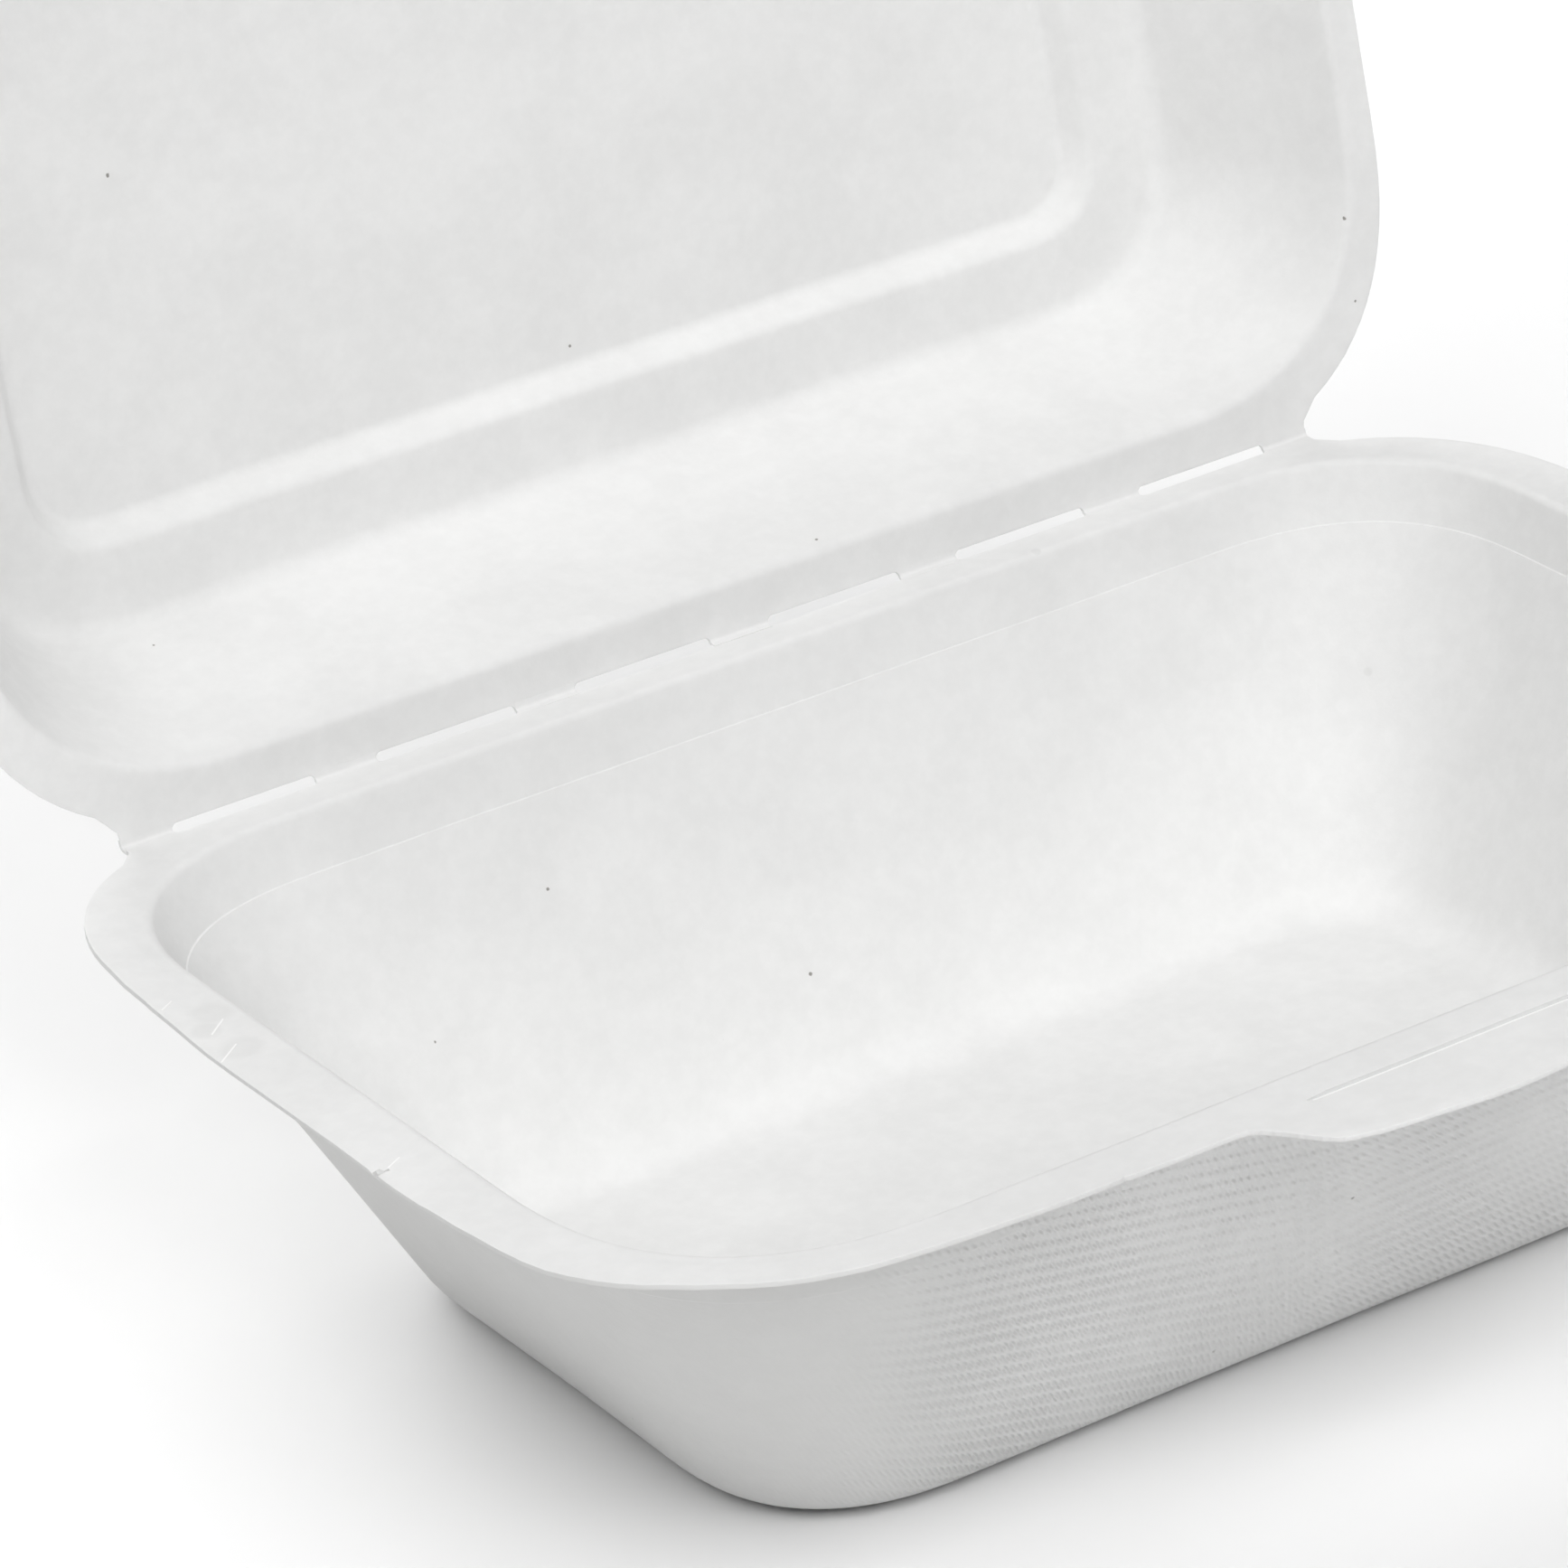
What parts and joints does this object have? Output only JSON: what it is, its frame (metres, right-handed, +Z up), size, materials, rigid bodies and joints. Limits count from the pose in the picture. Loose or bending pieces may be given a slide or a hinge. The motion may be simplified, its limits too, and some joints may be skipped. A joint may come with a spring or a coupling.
{
  "type": "hinged takeaway food box",
  "caption": "Moulded-fibre takeaway box: a drafted base tray and a panelled lid joined by a perforated fold, with a front tab and slit lock.",
  "frame": {"origin": "middle of the base tray's flat underside, which is the face that it stands on", "axes": "+Z up, X along the fold, -Y towards the front tab"},
  "size_m": [0.2346, 0.2283, 0.2154],
  "materials": {
    "moulded_fibre": "matte pressed plant fibre with a fine forming-screen texture on the outside"
  },
  "bodies": {
    "base": {"base_tray": "moulded_fibre"},
    "lid": {"lid": "moulded_fibre"}
  },
  "joints": [
    {"name": "lid_fold", "type": "hinge", "parent": "base", "child": "lid", "pos_m": [0, 0.08005, 0.05615], "axis": [-1, 0, 0], "range_deg": [-100, 80]}
  ]
}
